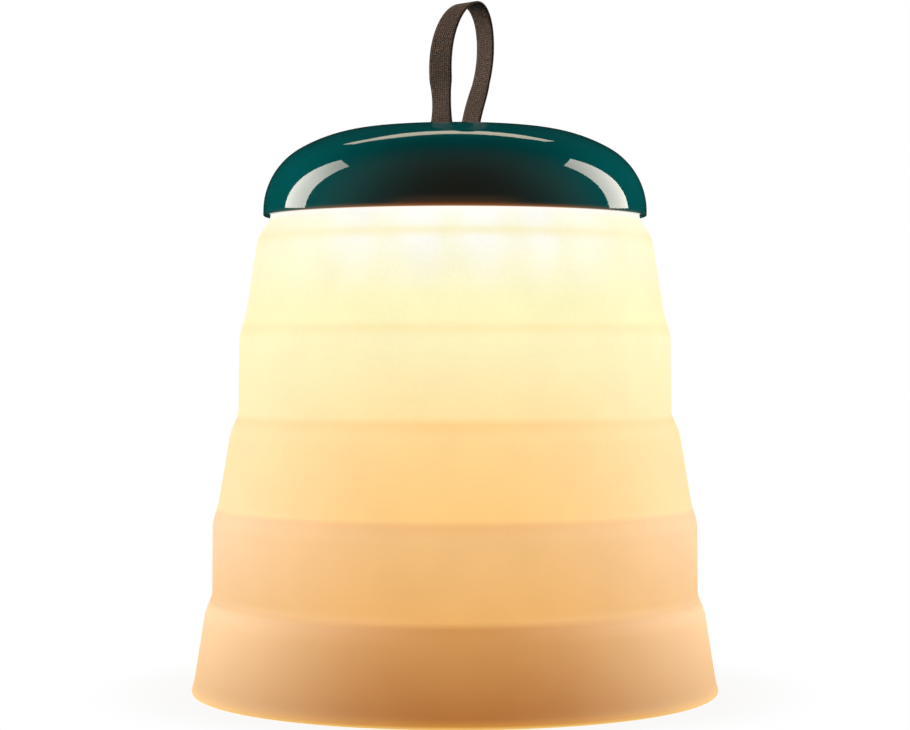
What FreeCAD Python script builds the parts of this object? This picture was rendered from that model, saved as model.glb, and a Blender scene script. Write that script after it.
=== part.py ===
import FreeCAD, Part
import math
import os
import Sketcher

# Collapsible camping lantern: a folding silicone shade under a domed lamp head with a ribbon loop.
# The origin is on the ground under the middle of the shade, Z points up, and the ribbon loop
# stands in the XZ plane. Lengths are millimetres, angles are degrees.

DIMENSIONS = {
    # Silicone shade, from the ground up: heights, and how far each band steps or tapers in
    "foot_radius": 95.5,
    "foot_edge_round": 1.5,
    "foot_lip_height": 4.7,
    "foot_lip_flare": 1.3,
    "foot_seat_width": 4.0,
    "foot_seat_thick": 3.0,
    "foot_ring_height": 29.4,
    "foot_ring_taper": 3.9,
    "lower_shoulder_height": 6.0,
    "lower_shoulder_inset": 2.5,
    "lower_fold_height": 26.2,
    "lower_fold_taper": 0.2,
    "lower_step_height": 6.5,
    "lower_step_inset": 2.1,
    "middle_ring_height": 25.9,
    "middle_ring_taper": 4.3,
    "upper_shoulder_height": 6.4,
    "upper_shoulder_inset": 2.85,
    "upper_fold_height": 28.1,
    "upper_fold_taper": 0.35,
    "upper_step_height": 8.4,
    "upper_step_inset": 2.5,
    "upper_ring_height": 26.7,
    "upper_ring_taper": 4.1,
    "neck_shoulder_height": 7.6,
    "neck_shoulder_inset": 4.7,
    "neck_height": 6.8,
    "neck_wall": 2.2,
    "bead_height": 2.5,
    "bead_depth": 1.2,
    "ring_wall": 2.4,
    "fold_wall": 1.4,
    "shoulder_round": 14.0,
    "step_round": 11.0,
    # Domed cap: three tangent arcs, set by the first radius and the angles where they meet
    "cap_rim_gap": 0.6,
    "cap_side_gap": 0.5,
    "cap_wall": 2.2,
    "cap_height": 33.0,
    "cap_side_height": 1.7,
    "cap_side_round": 25.8,
    "cap_side_turn": 60.0,
    "cap_shoulder_turn": 84.5,
    "cap_edge_round": 1.0,
    "boss_inset": 4.0,
    "boss_radius": 3.6,
    "boss_pilot_depth": 9.0,
    "case_screw_count": 4,
    # Ribbon loop
    "ribbon_width": 10.0,
    "ribbon_thick": 1.2,
    "ribbon_spread": 7.3,
    "ribbon_slot_gap": 0.4,
    "ribbon_under_gap": 0.4,
    "ribbon_corner": 1.0,
    "ribbon_pivot_height": 8.0,
    "ribbon_split": 0.3,
    "loop_flare_x": 9.0,
    "loop_flare_height": 12.5,
    "loop_bulge_x": 15.5,
    "loop_bulge_height": 26.5,
    "loop_shoulder_x": 14.2,
    "loop_shoulder_height": 41.5,
    "loop_top_x": 6.2,
    "loop_top_height": 45.8,
    "loop_lean_x": 3.0,
    "loop_lean_height": 39.8,
    "loop_left_x": 7.9,
    "loop_left_height": 25.5,
    # Tray that closes the head, with the hub for the button and the charging socket
    "seat_gap": 0.1,
    "hub_drop": 1.8,
    "hub_radius": 26.0,
    "tray_wall": 2.0,
    "hub_face_thick": 2.4,
    "tray_floor_drop": 2.0,
    "tray_skirt_drop": 6.0,
    "tray_flange_thick": 1.9,
    "tray_flange_lap": 0.9,
    "lens_thick": 1.6,
    "lens_edge_round": 1.5,
    # LED ring
    "led_board_gap": 0.7,
    "led_board_width": 16.0,
    "board_thick": 1.6,
    "led_inset": 6.0,
    "led_side": 3.5,
    "led_height": 1.0,
    "led_count": 20,
    # Driver board on four posts
    "driver_length": 57.0,
    "driver_width": 21.0,
    "driver_corner": 2.0,
    "post_inset": 3.0,
    "post_height": 5.0,
    "post_radius": 2.6,
    "coil_offset": 12.5,
    "coil_radius": 4.2,
    "coil_height": 4.0,
    "capacitor_radius": 2.5,
    "capacitor_height": 6.0,
    "chip_side": 5.0,
    "chip_height": 1.0,
    "plug_length": 6.0,
    "plug_width": 5.0,
    "plug_height": 4.5,
    # Button and switch
    "button_radius": 7.4,
    "button_gap": 0.3,
    "button_proud": 1.2,
    "button_round": 0.8,
    "button_flange": 1.7,
    "button_flange_thick": 1.2,
    "button_stem_radius": 1.5,
    "switch_side": 6.2,
    "switch_height": 3.4,
    "plunger_radius": 1.6,
    "plunger_gap": 0.1,
    "plunger_proud": 0.3,
    "plunger_length": 1.5,
    "plunger_well": 2.6,
    # Charging socket and its rubber flap
    "socket_offset": 16.0,
    "socket_length": 9.2,
    "socket_width": 3.4,
    "socket_corner": 1.5,
    "socket_shell": 0.4,
    "socket_depth": 6.5,
    "socket_gap": 0.3,
    "tongue_length": 6.7,
    "tongue_thick": 0.7,
    "tongue_recess": 1.7,
    "flap_length": 8.0,
    "flap_width": 14.0,
    "flap_thick": 1.5,
    "flap_corner": 1.4,
    "flap_gap": 0.25,
    "flap_stub_height": 1.1,
    "flap_stub_gap": 0.65,
    # Battery
    "cell_radius": 9.2,
    "cell_length": 65.0,
    "cell_edge_round": 0.8,
    "cell_spread": 21.0,
    "cradle_floor": 0.8,
    "cradle_wall": 1.6,
    "cradle_gap": 0.2,
    "cradle_end_height": 13.0,
    "cradle_width": 15.0,
    "contact_thick": 0.6,
    "contact_side": 8.0,
    # Screws and wires
    "case_screw_radius": 1.2,
    "case_screw_head_radius": 2.8,
    "case_screw_head": 1.8,
    "case_screw_length": 9.0,
    "screw_hole_gap": 0.3,
    "thread_gap": 0.05,
    "board_screw_radius": 0.85,
    "board_screw_head_radius": 2.1,
    "board_screw_head": 1.4,
    "board_screw_length": 5.0,
    "wire_radius": 0.7,
    "wire_hole_radius": 1.0,
    "wire_spread": 2.8,
}

doc = FreeCAD.newDocument("camping_lantern")
sheet = doc.addObject("Spreadsheet::Sheet", "Dimensions")
for row, (alias, number) in enumerate(DIMENSIONS.items(), start=1):
    sheet.set(f"A{row}", alias)
    sheet.set(f"B{row}", str(number))
    sheet.setAlias(f"B{row}", alias)
doc.recompute()


class Size:
    """A length or angle that carries its number and the sheet formula it comes from."""

    def __init__(self, value, formula):
        self.value = value
        self.formula = formula

    def __add__(self, other):
        other = as_size(other)
        return Size(self.value + other.value, f"({self.formula} + {other.formula})")

    def __sub__(self, other):
        other = as_size(other)
        return Size(self.value - other.value, f"({self.formula} - {other.formula})")

    def __mul__(self, other):
        other = as_size(other)
        return Size(self.value * other.value, f"({self.formula} * {other.formula})")

    def __truediv__(self, other):
        other = as_size(other)
        return Size(self.value / other.value, f"({self.formula} / {other.formula})")

    def __neg__(self):
        return Size(-self.value, f"(-{self.formula})")

    def __radd__(self, other):
        return as_size(other) + self

    def __rsub__(self, other):
        return as_size(other) - self

    def __rmul__(self, other):
        return as_size(other) * self


def as_size(number):
    return number if isinstance(number, Size) else Size(float(number), repr(float(number)))


def size(alias):
    return Size(float(sheet.get(alias)), f"Dimensions.{alias}")


def cosine(angle):
    return Size(math.cos(math.radians(angle.value)), f"cos({angle.formula})")


def sine(angle):
    return Size(math.sin(math.radians(angle.value)), f"sin({angle.formula})")


# Drawing helpers: every corner, radius and height is bound to the sheet


def new_body(label):
    body = doc.addObject("PartDesign::Body", label)
    body.Label = label
    return body


def origin_feature(body, role):
    return next(item for item in body.Origin.OriginFeatures if item.Role == role)


def bind_point(sketch, geometry, end, point):
    """Fixes one end of a line or arc, or a circle's centre, at a point of the sketch."""
    for kind, axis, distance in (("DistanceX", -2, point[0]), ("DistanceY", -1, point[1])):
        distance = as_size(distance)
        if distance.value == 0:
            sketch.addConstraint(Sketcher.Constraint("PointOnObject", geometry, end, axis))
            continue
        if distance.value > 0:
            constraint = Sketcher.Constraint(kind, -1, 1, geometry, end, distance.value)
        else:
            distance = -distance
            constraint = Sketcher.Constraint(kind, geometry, end, -1, 1, distance.value)
        index = sketch.addConstraint(constraint)
        sketch.setExpression(f"Constraints[{index}]", distance.formula)


def bind_radius(sketch, geometry, radius):
    index = sketch.addConstraint(Sketcher.Constraint("Radius", geometry, radius.value))
    sketch.setExpression(f"Constraints[{index}]", radius.formula)


def edge_between(start, end, radius):
    """A line, or an arc of the given radius: positive bulges out of an anticlockwise outline."""
    first = FreeCAD.Vector(as_size(start[0]).value, as_size(start[1]).value, 0)
    last = FreeCAD.Vector(as_size(end[0]).value, as_size(end[1]).value, 0)
    if radius is None:
        return Part.LineSegment(first, last)
    chord = last - first
    inward = FreeCAD.Vector(-chord.y, chord.x, 0).normalize()
    if radius.value < 0:
        inward = -inward
    reach = math.sqrt(max(radius.value ** 2 - (chord.Length / 2) ** 2, 0))
    centre = (first + last) / 2 + inward * reach
    turns = [math.atan2(end.y - centre.y, end.x - centre.x) for end in (first, last)]
    if radius.value < 0:
        turns.reverse()
    circle = Part.Circle(centre, FreeCAD.Vector(0, 0, 1), abs(radius.value))
    return Part.ArcOfCircle(circle, turns[0], turns[1])


def draw_loop(sketch, outline):
    """A closed anticlockwise outline of corners (x, y) or (x, y, radius of the arc to the next)."""
    radii = [corner[2] if len(corner) > 2 else None for corner in outline]
    ends = [(1, 2) if radius is None or radius.value > 0 else (2, 1) for radius in radii]
    base = sketch.GeometryCount
    for corner, following, radius in zip(outline, outline[1:] + outline[:1], radii):
        sketch.addGeometry(edge_between(corner, following, radius))
    count = len(outline)
    for index in range(count):
        after = (index + 1) % count
        joint = (base + index, ends[index][1], base + after, ends[after][0])
        sketch.addConstraint(Sketcher.Constraint("Coincident", *joint))
    for index, corner in enumerate(outline):
        bind_point(sketch, base + index, ends[index][0], corner)
        if radii[index] is not None:
            bind_radius(sketch, base + index, radii[index] if radii[index].value > 0 else -radii[index])


def draw_circle(sketch, centre, radius):
    middle = FreeCAD.Vector(as_size(centre[0]).value, as_size(centre[1]).value, 0)
    index = sketch.addGeometry(Part.Circle(middle, FreeCAD.Vector(0, 0, 1), radius.value))
    bind_point(sketch, index, 3, centre)
    bind_radius(sketch, index, radius)


def new_sketch(body, name, plane="XY_Plane", level=None):
    sketch = body.newObject("Sketcher::SketchObject", name)
    sketch.AttachmentSupport = [(origin_feature(body, plane), "")]
    sketch.MapMode = "FlatFace"
    if level is not None:
        sketch.setExpression("AttachmentOffset.Base.z", level.formula)
    return sketch


def box_outline(centre, length, width):
    left, right = centre[0] - length / 2, centre[0] + length / 2
    front, back = centre[1] - width / 2, centre[1] + width / 2
    return [(left, front), (right, front), (right, back), (left, back)]


def rounded_outline(centre, length, width, corner):
    left, right = centre[0] - length / 2, centre[0] + length / 2
    front, back = centre[1] - width / 2, centre[1] + width / 2
    return [
        (left + corner, front),
        (right - corner, front, corner),
        (right, front + corner),
        (right, back - corner, corner),
        (right - corner, back),
        (left + corner, back, corner),
        (left, back - corner),
        (left, front + corner, corner),
    ]


def revolve(body, name, outline):
    """Turns an outline of (radius, height) corners round the Z axis."""
    sketch = new_sketch(body, name + "_profile", "XZ_Plane")
    draw_loop(sketch, outline)
    turned = body.newObject("PartDesign::Revolution", name)
    turned.Profile = sketch
    turned.ReferenceAxis = (sketch, ["V_Axis"])
    turned.Angle = 360
    return turned


def extrude(body, kind, name, level, length, loops=(), circles=()):
    """A pad or pocket upwards from a sketch at a height; with no length it stops at the first face."""
    sketch = new_sketch(body, name + "_sketch", "XY_Plane", level)
    for outline in loops:
        draw_loop(sketch, outline)
    for centre, radius in circles:
        draw_circle(sketch, centre, radius)
    feature = body.newObject(f"PartDesign::{kind}", name)
    feature.Profile = sketch
    if length is None:
        feature.Type = "UpToFirst"
    else:
        feature.setExpression("Length", length.formula)
    if kind == "Pocket":
        feature.Reversed = True
    return feature


def polar_pattern(body, name, features, count):
    pattern = body.newObject("PartDesign::PolarPattern", name)
    pattern.Originals = features
    pattern.Axis = (origin_feature(body, "Z_Axis"), [""])
    pattern.Angle = 360
    pattern.setExpression("Occurrences", count.formula)
    body.Tip = pattern
    return pattern


def solid_feature(label, shape):
    feature = doc.addObject("Part::Feature", label)
    feature.Label = label
    feature.Shape = shape
    return feature


def mirrored_corners(x, y):
    zero = as_size(0)
    return [(x, y), (zero - x, y), (zero - x, zero - y), (x, zero - y)]


# Heights of the shade's bands and radii of their outer faces

GROUND = as_size(0)
foot_top = size("foot_ring_height")
lower_fold_bottom = foot_top + size("lower_shoulder_height")
lower_fold_top = lower_fold_bottom + size("lower_fold_height")
middle_bottom = lower_fold_top + size("lower_step_height")
middle_top = middle_bottom + size("middle_ring_height")
upper_fold_bottom = middle_top + size("upper_shoulder_height")
upper_fold_top = upper_fold_bottom + size("upper_fold_height")
upper_bottom = upper_fold_top + size("upper_step_height")
upper_top = upper_bottom + size("upper_ring_height")
neck_bottom = upper_top + size("neck_shoulder_height")
neck_top = neck_bottom + size("neck_height")

foot_radius = size("foot_radius")
foot_cone_radius = foot_radius - size("foot_lip_flare")
foot_top_radius = foot_cone_radius - size("foot_ring_taper")
lower_fold_radius = foot_top_radius - size("lower_shoulder_inset")
lower_fold_top_radius = lower_fold_radius - size("lower_fold_taper")
middle_radius = lower_fold_top_radius - size("lower_step_inset")
middle_top_radius = middle_radius - size("middle_ring_taper")
upper_fold_radius = middle_top_radius - size("upper_shoulder_inset")
upper_fold_top_radius = upper_fold_radius - size("upper_fold_taper")
upper_radius = upper_fold_top_radius - size("upper_step_inset")
upper_top_radius = upper_radius - size("upper_ring_taper")
neck_radius = upper_top_radius - size("neck_shoulder_inset")
neck_inner_radius = neck_radius - size("neck_wall")

ring_wall = size("ring_wall")
fold_wall = size("fold_wall")
shoulder_round = size("shoulder_round")
step_round = size("step_round")


# Foot ring: tapered silicone ring with a flared lip and a flat seat it stands on

foot_round = size("foot_edge_round")
foot_flat_radius = foot_radius - foot_round
foot_seat_radius = foot_flat_radius - size("foot_seat_width")
lip_height = size("foot_lip_height")
seat_thick = size("foot_seat_thick")
foot_ring = new_body("foot_ring")
revolve(foot_ring, "foot_turned", [
    (foot_seat_radius, GROUND),
    (foot_flat_radius, GROUND, foot_round),
    (foot_radius, foot_round),
    (foot_cone_radius, lip_height),
    (foot_top_radius, foot_top),
    (foot_top_radius - ring_wall, foot_top),
    (foot_cone_radius - ring_wall, lip_height),
    (foot_seat_radius, seat_thick),
])


# Fold walls: thin walls that turn inside out, with a rounded shoulder below and a step above


def fold_profile(radii, heights):
    """Radii and heights of ring below, straight wall's two ends, and ring above."""
    outer = list(zip(radii, heights))
    inner = [(radius - fold_wall, height) for radius, height in outer]
    return [
        (*outer[0], shoulder_round),
        outer[1],
        (*outer[2], step_round),
        outer[3],
        (*inner[3], -step_round),
        inner[2],
        (*inner[1], -shoulder_round),
        inner[0],
    ]


lower_fold_wall = new_body("lower_fold_wall")
revolve(lower_fold_wall, "lower_fold_turned", fold_profile(
    [foot_top_radius, lower_fold_radius, lower_fold_top_radius, middle_radius],
    [foot_top, lower_fold_bottom, lower_fold_top, middle_bottom],
))

upper_fold_wall = new_body("upper_fold_wall")
revolve(upper_fold_wall, "upper_fold_turned", fold_profile(
    [middle_top_radius, upper_fold_radius, upper_fold_top_radius, upper_radius],
    [middle_top, upper_fold_bottom, upper_fold_top, upper_bottom],
))


# Middle ring: stiffer tapered ring that nests in the foot ring

middle_ring = new_body("middle_ring")
revolve(middle_ring, "middle_turned", [
    (middle_radius - ring_wall, middle_bottom),
    (middle_radius, middle_bottom),
    (middle_top_radius, middle_top),
    (middle_top_radius - ring_wall, middle_top),
])


# Upper ring: nests in the middle ring, and its neck's bead is buttoned into the tray's groove

bead_bottom = neck_top - size("bead_height")
bead_radius = neck_inner_radius - size("bead_depth")
upper_ring = new_body("upper_ring")
revolve(upper_ring, "upper_turned", [
    (upper_radius - ring_wall, upper_bottom),
    (upper_radius, upper_bottom),
    (upper_top_radius, upper_top, shoulder_round),
    (neck_radius, neck_bottom),
    (neck_radius, neck_top),
    (bead_radius, neck_top),
    (bead_radius, bead_bottom),
    (neck_inner_radius, bead_bottom),
    (neck_inner_radius, neck_bottom, -shoulder_round),
    (upper_top_radius - ring_wall, upper_top),
])


# Cap shell: glossy dome of three tangent arcs, with screw bosses inside and two ribbon slots

rim_level = neck_bottom + size("cap_rim_gap")
crown_level = rim_level + size("cap_height")
cap_wall = size("cap_wall")
cap_inner_radius = neck_radius + size("cap_side_gap")
cap_radius = cap_inner_radius + cap_wall
side_turn = size("cap_side_turn")
shoulder_turn = size("cap_shoulder_turn")


def dome_outline(inset):
    """Half section of the dome, filled to the axis and parallel to the outside at an inset."""
    waist_level = rim_level + size("cap_side_height")
    side_round = size("cap_side_round")
    cos_side, sin_side = cosine(side_turn), sine(side_turn)
    cos_crown, sin_crown = cosine(shoulder_turn), sine(shoulder_turn)
    across = cap_radius - side_round * (1 - cos_side)
    upward = crown_level - waist_level - side_round * sin_side
    shared = (cos_side - cos_crown) * (1 - sin_crown) - cos_crown * (sin_crown - sin_side)
    shoulder = (across * (1 - sin_crown) - cos_crown * upward) / shared
    crown = ((cos_side - cos_crown) * upward - across * (sin_crown - sin_side)) / shared
    first_arc = side_round - inset
    last_arc = crown - inset
    return [
        (GROUND, rim_level),
        (cap_radius - inset, rim_level),
        (cap_radius - inset, waist_level, first_arc),
        (cap_radius - inset - first_arc * (1 - cos_side), waist_level + first_arc * sin_side,
         shoulder - inset),
        (last_arc * cos_crown, crown_level - inset - last_arc * (1 - sin_crown), last_arc),
        (GROUND, crown_level - inset),
    ]


def hollow_dome(body):
    """Cuts the inside of the cap out of the solid dome."""
    sketch = new_sketch(body, "cap_hollow_profile", "XZ_Plane")
    draw_loop(sketch, dome_outline(cap_wall))
    hollow = body.newObject("PartDesign::Groove", "cap_hollow")
    hollow.Profile = sketch
    hollow.ReferenceAxis = (sketch, ["V_Axis"])
    hollow.Angle = 360
    return hollow


def round_rim(body, base):
    """Rounds the dome's lower outer edge."""
    doc.recompute()
    names = [
        f"Edge{number}" for number, edge in enumerate(base.Shape.Edges, start=1)
        if not edge.Degenerated
        and isinstance(edge.Curve, Part.Circle)
        and abs(edge.Curve.Radius - cap_radius.value) < 1e-6
        and abs(edge.Curve.Center.z - rim_level.value) < 1e-6
    ]
    rounded = body.newObject("PartDesign::Fillet", "cap_edge_round")
    rounded.Base = (base, names)
    rounded.setExpression("Radius", "Dimensions.cap_edge_round")
    return rounded


seat_gap = size("seat_gap")
tray_wall = size("tray_wall")
tray_top = neck_top + seat_gap
tray_floor_top = tray_top
skirt_radius = neck_inner_radius - seat_gap
skirt_inner_radius = skirt_radius - tray_wall
lens_outer = skirt_inner_radius - seat_gap
lens_thick = size("lens_thick")
led_board_outer = lens_outer - lens_thick - size("led_board_gap")
led_board_inner = led_board_outer - size("led_board_width")
boss_circle = led_board_inner - size("boss_inset")
boss_spot = (boss_circle, GROUND)
screw_count = size("case_screw_count")
case_screw_radius = size("case_screw_radius")
board_screw_radius = size("board_screw_radius")
thread_gap = size("thread_gap")
ribbon_thick = size("ribbon_thick")
ribbon_width = size("ribbon_width")
ribbon_spread = size("ribbon_spread")
slot_width = ribbon_thick + 2 * size("ribbon_slot_gap")
slot_length = ribbon_width + 2 * size("ribbon_slot_gap")

cap_shell = new_body("cap_shell")
round_rim(cap_shell, revolve(cap_shell, "cap_dome", dome_outline(GROUND)))
hollow_dome(cap_shell)
boss = extrude(cap_shell, "Pad", "cap_boss", tray_floor_top, None,
               circles=[(boss_spot, size("boss_radius"))])
polar_pattern(cap_shell, "cap_bosses", [boss], screw_count)
pilot = extrude(cap_shell, "Pocket", "cap_pilot", tray_floor_top, size("boss_pilot_depth"),
                circles=[(boss_spot, case_screw_radius + thread_gap)])
polar_pattern(cap_shell, "cap_pilots", [pilot], screw_count)
extrude(cap_shell, "Pocket", "ribbon_slots", crown_level - cap_wall * 3, cap_wall * 4, loops=[
    box_outline((side, GROUND), slot_width, slot_length)
    for side in (-ribbon_spread, ribbon_spread)
])
cap_shell.Tip = cap_shell.Group[-1]


# Head tray: closes the cap, carries battery and boards above and LED ring and lens below

hub_level = rim_level - size("hub_drop")
hub_radius = size("hub_radius")
hub_inner_radius = hub_radius - tray_wall
hub_face_top = hub_level + size("hub_face_thick")
tray_floor_bottom = tray_floor_top - size("tray_floor_drop")
skirt_level = tray_top - size("tray_skirt_drop")
groove_radius = bead_radius - seat_gap
groove_bottom = bead_bottom - seat_gap
flange_radius = neck_radius - size("tray_flange_lap")
flange_top = tray_top + size("tray_flange_thick")

head_tray = new_body("head_tray")
revolve(head_tray, "tray_turned", [
    (GROUND, hub_level),
    (hub_radius, hub_level),
    (hub_radius, tray_floor_bottom),
    (skirt_inner_radius, tray_floor_bottom),
    (skirt_inner_radius, skirt_level),
    (skirt_radius, skirt_level),
    (skirt_radius, groove_bottom),
    (groove_radius, groove_bottom),
    (groove_radius, tray_top),
    (flange_radius, tray_top),
    (flange_radius, flange_top),
    (groove_radius - tray_wall, flange_top),
    (groove_radius - tray_wall, tray_floor_top),
    (hub_inner_radius, tray_floor_top),
    (hub_inner_radius, hub_face_top),
    (GROUND, hub_face_top),
])

# Posts for the driver board, with pilot holes for its screws
driver_length = size("driver_length")
driver_width = size("driver_width")
post_height = size("post_height")
post_inset = size("post_inset")
post_spots = mirrored_corners(driver_length / 2 - post_inset, driver_width / 2 - post_inset)
extrude(head_tray, "Pad", "tray_posts", tray_floor_top, post_height,
        circles=[(spot, size("post_radius")) for spot in post_spots])
extrude(head_tray, "Pocket", "tray_post_pilots", tray_floor_top, post_height,
        circles=[(spot, board_screw_radius + thread_gap) for spot in post_spots])

# Screw holes, button hole, flap recess, socket slot and wire holes
screw_hole_radius = case_screw_radius + size("screw_hole_gap")
screw_hole = extrude(head_tray, "Pocket", "tray_screw_hole", tray_floor_bottom, size("tray_floor_drop"),
                     circles=[(boss_spot, screw_hole_radius)])
polar_pattern(head_tray, "tray_screw_holes", [screw_hole], screw_count)
button_radius = size("button_radius")
socket_spot = (size("socket_offset"), GROUND)
flap_gap = size("flap_gap")
flap_length = size("flap_length")
flap_width = size("flap_width")
flap_corner = size("flap_corner")
socket_gap = size("socket_gap")
socket_length = size("socket_length")
socket_width = size("socket_width")
socket_corner = size("socket_corner")
recess_depth = size("flap_thick") + flap_gap
extrude(head_tray, "Pocket", "button_hole", hub_level, size("hub_face_thick"),
        circles=[((GROUND, GROUND), button_radius + size("button_gap"))])
extrude(head_tray, "Pocket", "flap_recess", hub_level, recess_depth, loops=[
    rounded_outline(socket_spot, flap_length + 2 * flap_gap, flap_width + 2 * flap_gap,
                    flap_corner + flap_gap),
])
extrude(head_tray, "Pocket", "socket_slot", hub_level, size("hub_face_thick"), loops=[
    rounded_outline(socket_spot, socket_width + 2 * socket_gap, socket_length + 2 * socket_gap,
                    socket_corner + socket_gap),
])
wire_spread = size("wire_spread")
wire_hole_x = led_board_inner - 5 * size("wire_hole_radius")
wire_hole_y = boss_circle / 4
extrude(head_tray, "Pocket", "wire_holes", tray_floor_bottom, size("tray_floor_drop"), circles=[
    ((wire_hole_x, wire_hole_y + side), size("wire_hole_radius"))
    for side in (-wire_spread / 2, wire_spread / 2)
])
head_tray.Tip = head_tray.Group[-1]


# Opal lens: annular dish that snaps inside the tray's skirt, round the hub

lens_round = size("lens_edge_round")
lens_inner = hub_radius + seat_gap
opal_lens = new_body("opal_lens")
revolve(opal_lens, "lens_turned", [
    (lens_inner, hub_level),
    (lens_outer - lens_round, hub_level, lens_round),
    (lens_outer, hub_level + lens_round),
    (lens_outer, tray_floor_bottom),
    (lens_outer - lens_thick, tray_floor_bottom),
    (lens_outer - lens_thick, hub_level + lens_thick),
    (lens_inner + lens_thick, hub_level + lens_thick),
    (lens_inner + lens_thick, tray_floor_bottom),
    (lens_inner, tray_floor_bottom),
])


# LED ring: annular metal-core board under the tray floor, with the LEDs facing down

board_thick = size("board_thick")
led_board_bottom = tray_floor_bottom - board_thick
led_board = new_body("led_board")
revolve(led_board, "led_board_turned", [
    (led_board_inner, led_board_bottom),
    (led_board_outer, led_board_bottom),
    (led_board_outer, tray_floor_bottom),
    (led_board_inner, tray_floor_bottom),
])

led_side = size("led_side")
led_height = size("led_height")
leds = new_body("leds")
first_led = extrude(leds, "Pad", "first_led", led_board_bottom - led_height, led_height,
                    loops=[box_outline((led_board_outer - size("led_inset"), GROUND), led_side, led_side)])
polar_pattern(leds, "led_ring", [first_led], size("led_count"))


# Driver board on its posts, with the parts soldered to it

driver_bottom = tray_floor_top + post_height
driver_top = driver_bottom + board_thick
driver_board = new_body("driver_board")
extrude(driver_board, "Pad", "driver_plate", driver_bottom, board_thick, loops=[
    rounded_outline((GROUND, GROUND), driver_length, driver_width, size("driver_corner")),
])
extrude(driver_board, "Pocket", "driver_holes", driver_bottom, board_thick,
        circles=[(spot, board_screw_radius + size("screw_hole_gap")) for spot in post_spots])

coil_spot = (-size("coil_offset"), GROUND)
capacitor_spot = (size("coil_radius") / 2, size("capacitor_radius") - driver_width / 4)
chip_spot = (GROUND, driver_width / 4)
plug_spot = (driver_length / 2 - post_inset * 2, GROUND)
battery_plug_spot = (GROUND - plug_spot[0], GROUND)
plug_box = (size("plug_width"), size("plug_length"))
board_components = new_body("board_components")
extrude(board_components, "Pad", "coil", driver_top, size("coil_height"),
        circles=[(coil_spot, size("coil_radius"))])
extrude(board_components, "Pad", "capacitor", driver_top, size("capacitor_height"),
        circles=[(capacitor_spot, size("capacitor_radius"))])
extrude(board_components, "Pad", "controller", driver_top, size("chip_height"),
        loops=[box_outline(chip_spot, size("chip_side"), size("chip_side"))])
extrude(board_components, "Pad", "wire_plugs", driver_top, size("plug_height"),
        loops=[box_outline(spot, *plug_box) for spot in (plug_spot, battery_plug_spot)])


# Power button in the hub, and the switch that it presses

button_bottom = hub_level - size("button_proud")
flange_bottom = hub_face_top + seat_gap
switch_bottom = driver_bottom - size("switch_height")
plunger_bottom = switch_bottom - size("plunger_proud")
button_round = size("button_round")
button_flange_radius = button_radius + size("button_flange")
button_flange_top = flange_bottom + size("button_flange_thick")
stem_radius = size("button_stem_radius")
power_button = new_body("power_button")
revolve(power_button, "button_turned", [
    (GROUND, button_bottom),
    (button_radius - button_round, button_bottom, button_round),
    (button_radius, button_bottom + button_round),
    (button_radius, flange_bottom),
    (button_flange_radius, flange_bottom),
    (button_flange_radius, button_flange_top),
    (stem_radius, button_flange_top),
    (stem_radius, plunger_bottom),
    (GROUND, plunger_bottom),
])

plunger_radius = size("plunger_radius")
tact_switch = new_body("tact_switch")
extrude(tact_switch, "Pad", "switch_case", switch_bottom, size("switch_height"),
        loops=[box_outline((GROUND, GROUND), size("switch_side"), size("switch_side"))])
extrude(tact_switch, "Pocket", "switch_well", switch_bottom, size("plunger_well"),
        circles=[((GROUND, GROUND), plunger_radius + size("plunger_gap"))])

switch_plunger = new_body("switch_plunger")
extrude(switch_plunger, "Pad", "plunger_pin", plunger_bottom, size("plunger_length"),
        circles=[((GROUND, GROUND), plunger_radius)])


# Charging socket: pressed shell with its tongue, hanging from the driver board into the hub

socket_shell = size("socket_shell")
socket_mouth = hub_level + recess_depth + seat_gap
socket_height = driver_bottom - socket_mouth
usb_socket = new_body("usb_socket")
extrude(usb_socket, "Pad", "socket_case", socket_mouth, socket_height, loops=[
    rounded_outline(socket_spot, socket_width, socket_length, socket_corner),
])
extrude(usb_socket, "Pocket", "socket_mouth", socket_mouth, size("socket_depth"), loops=[
    rounded_outline(socket_spot, socket_width - 2 * socket_shell, socket_length - 2 * socket_shell,
                    socket_corner - socket_shell),
])
extrude(usb_socket, "Pad", "socket_tongue", socket_mouth + size("tongue_recess"),
        size("socket_depth") - size("tongue_recess"),
        loops=[box_outline(socket_spot, size("tongue_thick"), size("tongue_length"))])


# Port flap: rubber lid in the hub's recess, with a stub that plugs the socket's mouth

stub_gap = size("flap_stub_gap") + socket_shell
port_flap = new_body("port_flap")
extrude(port_flap, "Pad", "flap_lid", hub_level, size("flap_thick"),
        loops=[rounded_outline(socket_spot, flap_length, flap_width, flap_corner)])
extrude(port_flap, "Pad", "flap_stub", hub_level + size("flap_thick"),
        flap_gap + seat_gap + size("flap_stub_height"), loops=[
            rounded_outline(socket_spot, socket_width - 2 * stub_gap, socket_length - 2 * stub_gap,
                            socket_corner - stub_gap),
        ])


# Battery: two cells in cradles on the tray floor, with a contact strip at each end

cell_radius = size("cell_radius")
cell_length = size("cell_length")
cell_round = size("cell_edge_round")
cell_spread = size("cell_spread")
cradle_gap = size("cradle_gap")
cradle_wall = size("cradle_wall")
cell_level = tray_floor_top + size("cradle_floor") + cradle_gap + cell_radius
contact_thick = size("contact_thick")
cradle_half = cell_length / 2 + contact_thick + cradle_gap


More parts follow.
